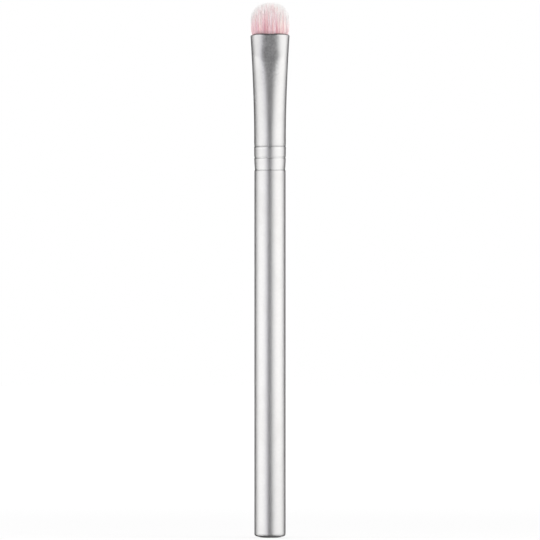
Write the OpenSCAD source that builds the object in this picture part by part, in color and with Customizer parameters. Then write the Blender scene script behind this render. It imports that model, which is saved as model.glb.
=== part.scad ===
/* [Handle] */
// Outside diameter of the handle tube
handle_d = 9.6; // [9.5:0.1:12]
// Length of the handle tube, from the butt to the ferrule's lower lip
handle_l = 113.2; // [90:0.1:140]
// Wall of the handle tube
tube_wall = 0.8; // [0.5:0.05:1.2]
// Thickness of the tube's closed butt end
butt_wall = 1.8; // [1.7:0.1:3]
// Height at which the rounded butt reaches the full diameter
butt_h = 1.25; // [1.2:0.05:1.6]
// Radius of the rounded corner of the butt
butt_corner_r = 0.8; // [0.6:0.05:1.15]
// Diameter of the small flat land in the middle of the butt
butt_land_d = 3.2; // [2:0.1:4]
// Rounding of the tube's upper outside edge
shoulder_r = 0.2; // [0.1:0.05:0.3]

/* [Core] */
// Thickness of the glue films round the dowel and its tenon
glue_film = 0.1; // [0.05:0.01:0.15]
// Gap under the dowel's foot, where spare glue gathers
dowel_foot_gap = 0.3; // [0.1:0.05:0.9]
// Length of the tenon, over which the ferrule stays round
tenon_l = 10.6; // [9.5:0.1:14]
// Chamfer on the tenon's end and on the dowel's foot
dowel_chamfer = 0.6; // [0.3:0.05:1]

/* [Ferrule] */
// Outside diameter of the round part of the ferrule
ferrule_d = 9.77; // [9.6:0.01:10]
// Length of the ferrule, from its lower lip to the mouth
ferrule_l = 41.9; // [38:0.1:50]
// Wall of the ferrule
ferrule_wall = 0.3; // [0.2:0.05:0.4]
// How far the lower lip is rolled in towards the tenon
lip_roll = 0.25; // [0.1:0.01:0.3]
// Height of the lower crimp above the lip
low_crimp_z = 3.6; // [3:0.05:4]
// Depth of the lower crimp
low_crimp_depth = 0.17; // [0.1:0.01:0.25]
// Height of the upper crimp above the lip
high_crimp_z = 7.25; // [6.5:0.05:7.5]
// Depth of the upper crimp
high_crimp_depth = 0.25; // [0.1:0.01:0.3]
// Width of each crimp
crimp_w = 0.9; // [0.6:0.05:1.2]

/* [Mouth] */
// Width of the ferrule's mouth, outside
mouth_w = 12.1; // [11:0.1:13]
// Thickness of the ferrule's mouth, outside, between its pressed flats
mouth_t = 8.2; // [7.9:0.1:8.8]
// Length of the flats pressed into the two faces, down from the mouth
press_l = 7; // [5.5:0.1:9]

/* [Bristles] */
// Length of the longest bristles above the mouth
tuft_l = 9.9; // [8:0.1:14]
// Length of the outermost bristles above the mouth
tuft_side_l = 4.3; // [3.5:0.1:5]
// Width of the tuft at its widest
tuft_w = 12.2; // [11.5:0.1:13]
// Thickness of the tuft at its thickest
tuft_t = 8.3; // [8:0.1:9]
// Thickness of one bristle at its root
strand_d = 0.22; // [0.16:0.01:0.24]
// Length of the glued root block under the bristles
root_l = 12; // [9:0.1:13]
// Depth of the root block's top below the mouth
root_depth = 6; // [4.5:0.1:7]
// Diameter of the tied neck at the foot of the root block
neck_d = 7.1; // [6:0.1:7.3]
// Length of the tied neck
neck_l = 3.2; // [3:0.1:4]
// Diameter of the binding thread
thread_d = 0.34; // [0.25:0.01:0.4]

/* [Hidden] */

// Shapes of curves, as powers of a share of their run
flare_power = 1.75;
thin_power = 2.2;
flat_power = 7.5;
lip_roll_power = 5;
dome_power = 2.15;
// Powers of the ferrule's oval where it is round, at the foot of the flats and at the mouth
round_power = 2;
press_power = 3.5;
mouth_power = 2.7;

// Clearances
pot_clearance = 0.03;
root_clearance = 0.06;
binding_clearance = 0.02;
mouth_clearance = 0.06;
seam_step = 0.01;
seam_lap = 0.1;

// Counts
lathe_fn = 96;
arc_steps = 8;
crimp_steps = 8;
oval_steps = 72;
oval_tries = 7;
lip_steps = 4;
binding_turns = 5;
lattice_rings = 11;
strand_sides = 3;
hex_sides = 6;

// Shares
lip_shares = [0, 0.1, 0.25, 0.5];
rise_shares = [0, 0.16, 0.32, 0.46, 0.58, 0.69, 0.78, 0.86, 0.93, 0.97];
press_shares = [0, 0.1, 0.3, 0.6, 1];
pot_shares = [0, 0.15, 0.3, 0.45, 0.6, 0.8, 1];
tie_shares = [0, 0.16, 0.5, 0.84, 1];
root_straight_share = 0.4;
knee_share = 0.62;
knee_spread_share = 0.99;
knee_d_share = 0.85;
tip_spread_share = 0.985;

// Handle
handle_r = handle_d / 2;
bore_r = handle_r - tube_wall;
land_r = butt_land_d / 2;
corner_x = handle_r - butt_corner_r;
crown_r = (pow(corner_x - land_r, 2) + pow(butt_h, 2) - pow(butt_corner_r, 2))
        / (2 * (butt_h - butt_corner_r));
crown_turn = atan2(corner_x - land_r, crown_r - butt_h);

// Ferrule, with heights above its lower lip
ferrule_r = ferrule_d / 2;
crimps = [[low_crimp_z, low_crimp_depth], [high_crimp_z, high_crimp_depth]];
round_top_z = tenon_l;
press_z = ferrule_l - press_l;
mouth_z = ferrule_l - ferrule_wall;
crimp_heights = concat(
    [for (s = lip_shares) (low_crimp_z - crimp_w / 2) * s],
    crimp_run(low_crimp_z),
    [(low_crimp_z + high_crimp_z) / 2],
    crimp_run(high_crimp_z));

// Root block and binding, with heights above the ferrule's lower lip
root_top_z = ferrule_l - root_depth;
root_foot_z = root_top_z - root_l;
neck_top_z = root_foot_z + neck_l;
neck_r = neck_d / 2;
straight_z = root_top_z - (root_top_z - neck_top_z) * root_straight_share;
thread_r = thread_d / 2;
binding_h = binding_turns * thread_d;
binding_foot_z = root_foot_z + (neck_l - binding_h) / 2;
binding_r = neck_r + binding_clearance;

// Bristles
strand_r = strand_d / 2;
rim_count = hex_sides * lattice_rings;
strand_count = 1 + hex_sides * lattice_rings * (lattice_rings - 1) / 2;
cell_count = strand_count + rim_count;
hex_corners = [[1, 0], [0, 1], [-1, 1], [-1, 0], [0, -1], [1, -1]];
cells = [for (q = [-lattice_rings : lattice_rings])
             for (r = [max(-lattice_rings, -q - lattice_rings) : min(lattice_rings, lattice_rings - q)])
                 [q, r]];

// Points of an arc about a centre, from one angle to another
function arc_points(x, z, r, from, to) =
    [for (i = [0 : arc_steps])
        let (a = from + (to - from) * i / arc_steps) [x + r * cos(a), z + r * sin(a)]];

// An ease from 0 to 1 that starts and ends level
function ease(t) = let (u = min(1, max(0, t))) u * u * (3 - 2 * u);

// Heights of the points across one crimp
function crimp_run(z) = [for (i = [0 : crimp_steps]) z + crimp_w * (i / crimp_steps - 1 / 2)];

// Depth of the crimps at a height
function crimp_depth(z, i = 0) = i >= len(crimps) ? 0
    : crimp_depth(z, i + 1) + (abs(z - crimps[i][0]) >= crimp_w / 2 ? 0
        : crimps[i][1] * (1 + cos(2 * 180 * (z - crimps[i][0]) / crimp_w)) / 2);

// Outside radius of the round, crimped part of the ferrule
function crimped_r(z) = ferrule_r - lip_roll * pow(1 - z / round_top_z, lip_roll_power) - crimp_depth(z);

// The crimped part's profile, moved in by an inset, from the foot up to a height
function crimped_profile(inset, top) = [for (z = concat(crimp_heights, [top])) [crimped_r(z) - inset, z]];

// How far up a height lies between two others, from 0 to 1
function way_up(z, from, to) = min(1, max(0, (z - from) / (to - from)));

// Half the width and half the thickness of the ferrule at a height, outside
function half_w(z) = ferrule_r
    + (mouth_w / 2 - ferrule_r) * pow(way_up(z, round_top_z, mouth_z), flare_power);
function half_t(z) = ferrule_r
    + (mouth_t / 2 - ferrule_r) * pow(way_up(z, round_top_z, press_z), thin_power);

// The power of the oval at a height: round low down, flattest at the foot of the pressed flats
function oval_power(z) = z < press_z
    ? round_power + (press_power - round_power) * pow(way_up(z, round_top_z, press_z), flat_power)
    : mouth_power + (press_power - mouth_power) * pow(1 - way_up(z, press_z, mouth_z), 2);

// How far out the unit oval x^power + y^2 = 1 lies along a direction, by repeated Newton steps
function oval_reach(c, s, power, k = 1, tries = oval_tries) = tries == 0 ? k
    : let (x = pow(k * c, power), y = pow(k * s, 2))
    oval_reach(c, s, power, k - k * (x + y - 1) / (power * x + 2 * y), tries - 1);

// A point of the oval with given half sizes and power, at an angle
function oval_point(a, b, power, u) =
    let (k = oval_reach(abs(cos(u)), abs(sin(u)), power)) [a * k * cos(u), b * k * sin(u)];

// A point of the ferrule's section at a height, moved in by an inset
function section_point(z, inset, u) = oval_point(half_w(z) - inset, half_t(z) - inset, oval_power(z), u);

function lifted(p, z) = [p[0], p[1], z];

// Faces of a band of quads between two rings of points, as triangles that face outwards
function band_faces(low, high, count) =
    [for (i = [0 : count - 1]) let (j = (i + 1) % count)
        each [[low + i, high + i, high + j], [low + i, high + j, low + j]]];

// A closed solid through a list of sections, each a height and an inset
module section_solid(levels) {
    last = len(levels) - 1;
    points = concat(
        [for (l = levels) for (i = [0 : oval_steps - 1])
            lifted(section_point(l[0], l[1], 360 * i / oval_steps), l[0])],
        [[0, 0, levels[0][0]], [0, 0, levels[last][0]]]);
    foot = len(points) - 2;
    faces = concat(
        [for (n = [0 : last - 1]) each band_faces(n * oval_steps, (n + 1) * oval_steps, oval_steps)],
        [for (i = [0 : oval_steps - 1]) let (j = (i + 1) % oval_steps)
            each [[foot, i, j], [foot + 1, last * oval_steps + j, last * oval_steps + i]]]);
    polyhedron(points, faces);
}

// A shell through a ring of sections that goes up outside, over the lip and down inside
module section_shell(levels) {
    count = len(levels);
    points = [for (l = levels) for (i = [0 : oval_steps - 1])
        lifted(section_point(l[0], l[1], 360 * i / oval_steps), l[0])];
    faces = [for (n = [0 : count - 1])
        each band_faces(n * oval_steps, ((n + 1) % count) * oval_steps, oval_steps)];
    polyhedron(points, faces);
}

// Satin aluminium tube with a closed, rounded butt
module handle_tube() {
    color([0.78, 0.78, 0.79])
        rotate_extrude($fn = lathe_fn)
            polygon(concat(
                [[0, 0]],
                arc_points(land_r, crown_r, crown_r, -90, crown_turn - 90),
                arc_points(corner_x, butt_h, butt_corner_r, crown_turn - 90, 0),
                arc_points(handle_r - shoulder_r, handle_l - shoulder_r, shoulder_r, 0, 90),
                [[bore_r, handle_l], [bore_r, butt_wall], [0, butt_wall]]));
}

// Wooden dowel that fills the tube and carries the ferrule on its tenon
module core_dowel() {
    body_r = bore_r - glue_film;
    tenon_inset = ferrule_wall + glue_film;
    tenon_r = ferrule_r - tenon_inset;
    foot_z = butt_wall + dowel_foot_gap;
    color([0.84, 0.7, 0.5])
        rotate_extrude($fn = lathe_fn)
            polygon(concat(
                [[0, foot_z], [body_r - dowel_chamfer, foot_z], [body_r, foot_z + dowel_chamfer],
                 [body_r, handle_l]],
                [for (p = crimped_profile(tenon_inset, tenon_l - dowel_chamfer)) [p[0], p[1] + handle_l]],
                [[tenon_r - dowel_chamfer, handle_l + tenon_l], [0, handle_l + tenon_l]]));
}

// Cured glue between the dowel and the tube, with the pad under the dowel's foot
module dowel_glue() {
    foot_z = butt_wall + dowel_foot_gap;
    body_r = bore_r - glue_film;
    color([0.9, 0.85, 0.7])
        rotate_extrude($fn = lathe_fn)
            polygon([[0, butt_wall], [bore_r, butt_wall], [bore_r, handle_l], [body_r, handle_l],
                     [body_r, foot_z + dowel_chamfer], [body_r - dowel_chamfer, foot_z], [0, foot_z]]);
}

// A lathe-turned band between two insets of the crimped profile, from the lip up to a height
module crimped_band(outer_inset, inner_inset, top) {
    rotate_extrude($fn = lathe_fn)
        difference() {
            polygon(concat([[0, 0]], crimped_profile(outer_inset, top), [[0, top]]));
            polygon(concat([[0, 0]], crimped_profile(inner_inset, top), [[0, top]]));
        }
}

// Aluminium ferrule: round and crimped below, pressed flat to an oval mouth above
module ferrule() {
    heights = concat(
        [for (s = rise_shares) round_top_z + (press_z - round_top_z) * s],
        [for (s = press_shares) press_z + (mouth_z - press_z) * s]);
    // The pressed part starts inside the foot's wall, a hair within both of its faces
    outside = [for (z = heights) z > round_top_z ? [z, 0] : [z - seam_lap, seam_step]];
    lip = [for (i = [1 : lip_steps])
        let (a = 90 * i / lip_steps)
        [mouth_z + ferrule_wall * sin(a), ferrule_wall * (1 - cos(a))]];
    inside = [for (i = [len(heights) - 1 : -1 : 0]) [outside[i][0], ferrule_wall - outside[i][1]]];
    color([0.78, 0.78, 0.79])
        translate([0, 0, handle_l]) {
            crimped_band(0, ferrule_wall, round_top_z);
            section_shell(concat(outside, lip, inside));
        }
}

// Cured glue between the tenon and the ferrule
module ferrule_glue() {
    color([0.9, 0.85, 0.7])
        translate([0, 0, handle_l])
            crimped_band(ferrule_wall, ferrule_wall + glue_film, tenon_l - dowel_chamfer);
}

// Epoxy that fills the ferrule above the tenon and holds the tied roots
module potting_plug() {
    levels = [for (s = pot_shares) [tenon_l + (neck_top_z - tenon_l) * s, ferrule_wall + pot_clearance]];
    cup_r = neck_r + root_clearance;
    wound_r = binding_r + thread_d + binding_clearance;
    color([0.93, 0.88, 0.72])
        translate([0, 0, handle_l])
            difference() {
                section_solid(levels);
                translate([0, 0, root_foot_z - root_clearance])
                    cylinder(r = cup_r, h = neck_l + ferrule_l, $fn = lathe_fn);
                translate([0, 0, binding_foot_z - binding_clearance])
                    cylinder(r = wound_r, h = binding_h + 2 * binding_clearance, $fn = lathe_fn);
            }
}

// Thread wound round the neck of the root block
module root_binding() {
    color([0.95, 0.94, 0.9])
        translate([0, 0, handle_l + binding_foot_z])
            rotate_extrude($fn = lathe_fn)
                for (i = [0 : binding_turns - 1])
                    translate([binding_r, i * thread_d]) {
                        square([thread_r, thread_d]);
                        translate([thread_r, thread_r])
                            circle(r = thread_r, $fn = lathe_fn);
                    }
}

// The ring of a cell of the hexagonal lattice, its side of that hexagon and its step round the ring
function ring_of(c) = max(abs(c[0]), abs(c[1]), abs(c[0] + c[1]));
function side_of(c) = let (q = c[0], r = c[1])
    q > 0 && r >= 0 ? 0 : q <= 0 && q + r > 0 ? 1 : q < 0 && r > 0 ? 2
    : q < 0 && r <= 0 ? 3 : q >= 0 && q + r < 0 ? 4 : 5;
function step_of(c) = let (k = ring_of(c), s = side_of(c))
    k == 0 ? 0
    : s * k + (s == 0 ? c[1] : s == 1 ? -c[0] : s == 2 ? k - c[1]
             : s == 3 ? -c[1] : s == 4 ? c[0] : k + c[1]);
function angle_of(c) = let (k = ring_of(c)) k == 0 ? 0 : 360 * step_of(c) / (hex_sides * k);
function cell_index(c) = let (k = ring_of(c))
    k == 0 ? 0 : 1 + hex_sides * k * (k - 1) / 2 + step_of(c);
function on_rim(c) = ring_of(c) == lattice_rings;
function in_lattice(c) = ring_of(c) <= lattice_rings;

// Where a cell lies on the top of the root block
function root_point(c) = section_point(root_top_z, ferrule_wall + root_clearance, angle_of(c))
    * ring_of(c) / lattice_rings;

// The middle of the lattice triangle that a bristle's corner points into
function corner_target(c, d) = let (o = d == 0 ? c : d == 1 ? c - [1, 0] : c - [0, 1])
    (root_point(o) + root_point(o + [1, 0]) + root_point(o + [0, 1])) / 3;

// The way from a bristle's middle to one of its corners
function corner_way(c, d) = let (w = corner_target(c, d) - root_point(c)) w / norm(w);

// How far out a bristle stands in the tuft, from 0 to 1
function spread_of(c) = ring_of(c) / (lattice_rings - 1);

// How high a bristle reaches above the mouth
function reach_of(c) = tuft_side_l
    + (tuft_l - tuft_side_l) * pow(1 - pow(min(1, spread_of(c)), dome_power), 1 / dome_power);

// The middle of a bristle at the mouth, at its knee and at its tip, each with its height and radius
function mouth_place(c) = [section_point(mouth_z, ferrule_wall + mouth_clearance + strand_r, angle_of(c))
    * spread_of(c), ferrule_l, strand_r];
function tuft_place(c, share) = oval_point(tuft_w / 2 - strand_r, tuft_t / 2 - strand_r, mouth_power,
    angle_of(c)) * spread_of(c) * share;
function knee_place(c) = [tuft_place(c, knee_spread_share), ferrule_l + reach_of(c) * knee_share,
    strand_r * knee_d_share];
function tip_place(c) = tuft_place(c, tip_spread_share);

// The index of a corner of a cell at a level: the rim's cells have one corner each
function corner(c, d) = strand_sides * cell_index(c) + (on_rim(c) ? 0 : d);
function raised(c, d, level) = strand_sides * (cell_count + (level - 1) * strand_count + cell_index(c)) + d;

function distinct(f) = f[0] != f[1] && f[1] != f[2] && f[0] != f[2];

// The cell at a step round a ring, and all cells in the order of their index
function rim_cell(k, i) = let (s = floor(i / k), t = i % k)
    hex_corners[s] * k + (hex_corners[(s + 1) % hex_sides] - hex_corners[s]) * t;
ordered_cells = concat(
    [[0, 0]],
    [for (k = [1 : lattice_rings]) for (i = [0 : hex_sides * k - 1]) rim_cell(k, i)]);
strand_cells = [for (c = ordered_cells) if (!on_rim(c)) c];

// The root block's sides, from its rim down to the tied neck
function block_point(z, tied, u) =
    section_point(z, ferrule_wall + root_clearance, u) * (1 - tied) + [cos(u), sin(u)] * neck_r * tied;
block_levels = concat(
    [for (s = tie_shares) [straight_z + (neck_top_z - straight_z) * s, ease(s)]],
    [[root_foot_z, 1]]);

// Pink to white bristles, fused to the glued block of their roots
module bristle_tuft() {
    raised_count = 2;
    tip_start = strand_sides * (cell_count + raised_count * strand_count);
    block_start = tip_start + strand_count;
    block_rings = len(block_levels);
    foot = block_start + block_rings * rim_count;
    points = concat(
        [for (c = ordered_cells) for (d = [0 : strand_sides - 1])
            lifted(root_point(c) + (on_rim(c) ? [0, 0] : corner_way(c, d) * strand_r), root_top_z)],
        [for (level = [1 : raised_count]) for (c = strand_cells) for (d = [0 : strand_sides - 1])
            let (place = level == 1 ? mouth_place(c) : knee_place(c))
            lifted(place[0] + corner_way(c, d) * place[2], place[1])],
        [for (c = strand_cells) lifted(tip_place(c), ferrule_l + reach_of(c))],
        [for (l = block_levels) for (i = [0 : rim_count - 1])
            lifted(block_point(l[0], l[1], 360 * i / rim_count), l[0])],
        [[0, 0, root_foot_z]]);
    up = [for (c = cells) if (in_lattice(c + [1, 0]) && in_lattice(c + [0, 1]))
        [corner(c, 0), corner(c + [0, 1], 2), corner(c + [1, 0], 1)]];
    down = [for (c = cells) let (b = c + [1, -1], e = c + [1, 0])
        if (in_lattice(b) && in_lattice(e))
            let (ring = [corner(c, 0), corner(c, 2), corner(b, 1), corner(b, 0), corner(e, 2), corner(e, 1)])
            each [for (i = [1 : len(ring) - 2])
                let (f = [ring[0], ring[i + 1], ring[i]])
                if (distinct(f)) f]];
    strands = [for (c = strand_cells) for (d = [0 : strand_sides - 1]) let (e = (d + 1) % strand_sides)
        each [[corner(c, d), raised(c, d, 1), raised(c, e, 1)],
              [corner(c, d), raised(c, e, 1), corner(c, e)],
              [raised(c, d, 1), raised(c, d, 2), raised(c, e, 2)],
              [raised(c, d, 1), raised(c, e, 2), raised(c, e, 1)],
              [raised(c, d, 2), tip_start + cell_index(c), raised(c, e, 2)]]];
    rim = [for (i = [0 : rim_count - 1]) corner(rim_cell(lattice_rings, i), 0)];
    skirt = [for (i = [0 : rim_count - 1]) let (j = (i + 1) % rim_count)
        each [[block_start + i, rim[i], rim[j]], [block_start + i, rim[j], block_start + j]]];
    sides = [for (n = [0 : block_rings - 2])
        each band_faces(block_start + (n + 1) * rim_count, block_start + n * rim_count, rim_count)];
    floor_ring = block_start + (block_rings - 1) * rim_count;
    base = [for (i = [0 : rim_count - 1]) [foot, floor_ring + i, floor_ring + (i + 1) % rim_count]];
    color([0.94, 0.78, 0.79])
        translate([0, 0, handle_l])
            polyhedron(points, concat(up, down, strands, skirt, sides, base));
}

handle_tube();
core_dowel();
dowel_glue();
ferrule();
ferrule_glue();
potting_plug();
root_binding();
bristle_tuft();
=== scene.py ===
"""Eyeshadow brush: a finish for every part, the pressed ferrule, the loose bristles and the studio."""
import math

import bpy
import numpy as np
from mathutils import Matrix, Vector


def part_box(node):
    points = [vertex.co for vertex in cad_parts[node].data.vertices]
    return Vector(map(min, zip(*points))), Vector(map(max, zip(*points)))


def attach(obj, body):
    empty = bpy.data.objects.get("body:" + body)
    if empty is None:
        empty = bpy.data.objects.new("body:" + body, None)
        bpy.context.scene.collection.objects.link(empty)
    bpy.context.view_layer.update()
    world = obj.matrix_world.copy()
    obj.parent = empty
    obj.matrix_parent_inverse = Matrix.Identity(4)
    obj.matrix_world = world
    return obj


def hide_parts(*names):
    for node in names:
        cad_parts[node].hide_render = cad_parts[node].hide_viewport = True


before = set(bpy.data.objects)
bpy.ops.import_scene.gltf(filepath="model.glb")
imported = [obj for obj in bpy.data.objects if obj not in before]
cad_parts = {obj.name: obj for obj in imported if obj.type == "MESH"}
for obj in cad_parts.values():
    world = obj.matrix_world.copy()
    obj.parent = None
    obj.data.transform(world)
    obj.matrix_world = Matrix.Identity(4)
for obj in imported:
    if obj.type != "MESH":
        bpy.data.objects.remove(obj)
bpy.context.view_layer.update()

MM = 0.001
OVAL_TRIES = 7
GOLDEN_ANGLE = math.pi * (3 - math.sqrt(5))

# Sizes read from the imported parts
HANDLE_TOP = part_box("handle_tube")[1].z
FERRULE_LOW, FERRULE_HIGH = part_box("ferrule")
TUFT_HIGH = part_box("bristle_tuft")[1]
FERRULE_L = FERRULE_HIGH.z - FERRULE_LOW.z
FERRULE_R = FERRULE_HIGH.y
MOUTH_Z = FERRULE_HIGH.z
ROUND_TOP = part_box("core_dowel")[1].z - HANDLE_TOP
TUFT_L = TUFT_HIGH.z - MOUTH_Z
BRUSH_L = TUFT_HIGH.z

# Form of the ferrule, with heights above its lower lip
MOUTH_TRIM = 0.045 * MM
MOUTH_HALF_W = FERRULE_HIGH.x - MOUTH_TRIM
MOUTH_HALF_T = 4.1 * MM
WALL = 0.3 * MM
LIP_Z = 0.15 * MM
LIP_ROLL = 0.25 * MM
LIP_ROLL_POWER = 5
PRESS_L = 7 * MM
PRESS_Z = FERRULE_L - PRESS_L
FLARE_POWER = 1.68
THIN_POWER = 2.2

# Powers of the ferrule's oval from its round foot up to its mouth, and of the changes between them
ROUND_POWER = 2
FUNNEL_POWER = 2.5
PRESS_POWER = 4.0
MOUTH_POWER = 2.95
FOLD_POWER = 12
EASE_POWER = 1.8

# Crimps, each the sum of some rings: height, how far it stands out and half width
UPPER_CRIMP_Z = 7.35 * MM
LOWER_CRIMP_Z = 3.84 * MM
CRIMP_RINGS = (
    (UPPER_CRIMP_Z, -0.14 * MM, 0.1 * MM),
    (UPPER_CRIMP_Z + 0.05 * MM, -0.035 * MM, 0.35 * MM),
    (UPPER_CRIMP_Z + 0.6 * MM, -0.015 * MM, 0.14 * MM),
    (UPPER_CRIMP_Z - 0.5 * MM, 0.03 * MM, 0.2 * MM),
    (LOWER_CRIMP_Z, -0.12 * MM, 0.24 * MM),
    (LOWER_CRIMP_Z - 0.45 * MM, 0.02 * MM, 0.2 * MM),
)

# Rim of the mouth: it turns in, and then it curls through pairs of height and inset, as shares of RIM_R
RIM_R = 0.5 * MM
RIM_TURN = math.radians(64)
RIM_TOP = 0.93
RIM_Z = FERRULE_L - RIM_TOP * RIM_R
RIM_CURL = ((RIM_TOP, 0.64), (0.86, 0.76), (0.7, 0.83), (0.5, 0.85), (0.25, 0.75), (0.1, 0.64))

# How the rim rises, dips in the middle and drops at its two corners
RIM_RISE = 0.08 * MM
RIM_DIP = 0.07 * MM
RIM_DIP_W = 1.5 * MM
RIM_DROP_LEFT = 0.5 * MM
RIM_DROP_RIGHT = 0.36 * MM
RIM_DROP_POWER = 5
RIM_RUN = 2.5 * MM
RIM_RUN_POWER = 2

# Levels of the ferrule's mesh: runs up its outside (lowest, highest, count), and heights down its inside
COLUMNS = 288
OUTSIDE_RUNS = (
    (LIP_Z, 8.6 * MM, 170),
    (9 * MM, PRESS_Z - 1.4 * MM, 60),
    (PRESS_Z - 1.2 * MM, RIM_Z, 48),
)
INSIDE_HIGH = (RIM_Z, RIM_Z - 1 * MM, PRESS_Z, 30 * MM, 22 * MM, 16 * MM)
INSIDE_LOW = (ROUND_TOP, 8.4 * MM, 5.4 * MM, 2 * MM, LIP_Z)
RIM_STEPS = 10
LIP_STEPS = 9

# Where the ferrule is rubbed, and where shade is painted on it: the curl of the mouth, the inside and the
# upper crimp
RIM_RUB_BELOW = 0.1 * MM
RIM_RUB_ABOVE = 0.15 * MM
LIP_RUB_FULL = 0.1 * MM
LIP_RUB_END = 0.4 * MM
BEAD_RUB = 0.5
BEAD_HIGH = 0.02 * MM
RIM_PAINTED_SHADE = 0.68
RIM_SHADE_FROM = 0.1 * MM
RIM_SHADE_FULL = 0.22 * MM
INSIDE_FROM = 0.9 * WALL
CRIMP_PAINTED_SHADE = ((UPPER_CRIMP_Z, 0.2, 0.1 * MM), (UPPER_CRIMP_Z + 0.6 * MM, 0.06, 0.16 * MM))

# Where the handle is rubbed, and where shade is painted on it, just under the ferrule's lip
BUTT_RUB = 0.8
BUTT_RUB_FULL = 0.1 * MM
BUTT_RUB_END = 1.4 * MM
SHOULDER_RUB = 0.7
SHOULDER_RUB_FROM = HANDLE_TOP - 0.4 * MM
SHOULDER_TOP = HANDLE_TOP - 0.1 * MM
SHOULDER_PAINTED_SHADE = 0.08

# Where the press left the ferrule mottled: distances from the middle, heights, and patches to a metre
FLAT_HALF_W = 1.8 * MM
FLAT_END = 3.4 * MM
FLAT_FROM = HANDLE_TOP + 22 * MM
FLAT_FULL = HANDLE_TOP + 32 * MM
MOTTLE_SCALE = 1400.0

# Colours and roughness of the metal, with the dark colour of its painted shade
METAL_DULL = (0.785, 0.783, 0.782, 1)
METAL_CLEAN = (0.815, 0.812, 0.809, 1)
METAL_SMUDGED = (0.76, 0.755, 0.745, 1)
METAL_RUBBED = (0.89, 0.89, 0.89, 1)
METAL_PAINTED_SHADE = (0.1, 0.1, 0.11, 1)
MOTTLE_PALE = (0.86, 0.86, 0.86, 1)
MOTTLE_DARK = (0.66, 0.66, 0.66, 1)
METAL_ROUGH = 0.375

# Colours of the wood, the glue, the potting resin and the thread
WOOD_LATE = (0.6, 0.42, 0.24, 1)
WOOD_EARLY = (0.75, 0.58, 0.38, 1)
WOOD_FIBRE = (0.5, 0.33, 0.18, 1)
WOOD_PORE = (0.36, 0.23, 0.12, 1)
GLUE_CLEAR = (0.86, 0.81, 0.66, 1)
GLUE_CLOUDY = (0.8, 0.74, 0.58, 1)
RESIN_CLEAR = (0.84, 0.75, 0.54, 1)
RESIN_CLOUDY = (0.76, 0.65, 0.42, 1)
BUBBLE = (0.97, 0.95, 0.88, 1)
THREAD_GROOVE = (0.74, 0.71, 0.63, 1)
THREAD_PLY = (0.9, 0.88, 0.82, 1)
THREAD_WAX = (0.82, 0.76, 0.6, 1)

# Bristles: how many there are and how each is made
SEED = 14
STRANDS = 5000
LOCKS = 600
RINGS = 9
SIDES = 4
RING_POWER = 0.85
ROOT_DEPTH = 3 * MM
STRAND_R = 0.06 * MM
TIP_R = 0.012 * MM
TAPER_POWER = 1.6

# Form of the tuft, and how much shorter than full length some of the hair is
SIDE_REACH = 4.3 * MM
DOME_POWER = 2.15
TUFT_POWER = 2.7
TUFT_TRIM = 0.03 * MM
MOUTH_GAP = 0.16 * MM
SPRING_OUT = 1.3 * MM
FULL_LENGTH = 1.02
LOCK_SHORT = 0.025
STRAND_SHORT = 0.06
MOST_SHORT = 0.2

# How strands gather in locks, lean, stray and wave
SEAT_JITTER = 0.45
LOCK_JITTER = 0.5
GAP_JITTER = 0.0006
LOCK_PULL = 0.35
PULL_POWER = 1.5
LOCK_LEAN = 0.08 * MM
STRAY = 0.06 * MM
LEAN_POWER = 2
WAVE_R = 0.02 * MM
WAVE_TURN_X = 6
WAVE_TURN_Y = 5

# How far the dye has faded at a place, with sides paler partly by painted light, painted light on the right
# and upper left, and how evenly the locks at the two sides are dyed
OWN_SHARE = 0.5
SIDE_FADE_AND_LIGHT = 0.18
EDGE_FADE_AND_LIGHT = 0.18
RIGHT_PAINTED_LIGHT = 0.115
LEFT_TOP_PAINTED_LIGHT = 0.28
CALM_FROM = 0.6
CALM_FULL = 0.9
CALM_SHARE = 0.6
CALM_TONE = 0.62

# Dye: its steps of tone, where its fade starts and how it swings, then its colours from mouth to tips
TONES = 8
DYE_START = 0.265
DYE_RISE = 0.75
LOCK_SWING = 0.88
LOCK_SWING_LOSS = 0.44
STRAND_SWING = 0.3
HUE_TURNS = 4.9
# The lowest stops are partly dye and partly painted shade near the mouth
DYE_STOPS = (
    (0.0, (0.78, 0.41, 0.46, 1)),
    (0.25, (0.84, 0.52, 0.56, 1)),
    (0.4, (0.89, 0.59, 0.62, 1)),
    (0.55, (0.915, 0.65, 0.67, 1)),
    (0.66, (0.925, 0.7, 0.715, 1)),
    (0.8, (0.95, 0.77, 0.775, 1)),
    (0.87, (0.96, 0.86, 0.855, 1)),
    (0.94, (0.97, 0.92, 0.91, 1)),
    (1.0, (0.98, 0.96, 0.95, 1)),
)
MAUVE_TINT = (0.99, 0.975, 1.055, 1)
PEACH_TINT = (1.015, 1.01, 0.975, 1)
PALE_STRAND = (0.95, 0.9, 0.89, 1)
WHITE_TIP = (0.955, 0.955, 0.95, 1)
# Painted shade at the roots, just above the mouth
ROOT_PAINTED_SHADE = (0.5, 0.34, 0.36, 1)

# Flat map of the bristles: how a strand lies in its column, and how its two cut ends do
COLUMN_MARGIN = 0.25
COLUMN_W = 1 - 2 * COLUMN_MARGIN
MAP_LOW = 0.02
MAP_TALL = 0.96
END_STEP = 0.004
END_ACROSS = (0.3, 0.4, 0.6, 0.7)

# Camera: the photograph is square, and the brush takes up nearly all of its height
PHOTO_PIXELS = 540
BRUSH_PIXELS = 536
AXIS_PIXEL = 270
BASE_PIXEL = 537.8
PIXEL = BRUSH_L / BRUSH_PIXELS
LENS = 1000
SENSOR = 36
CLIP_START = 0.1
CLIP_END_TIMES = 3

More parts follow.
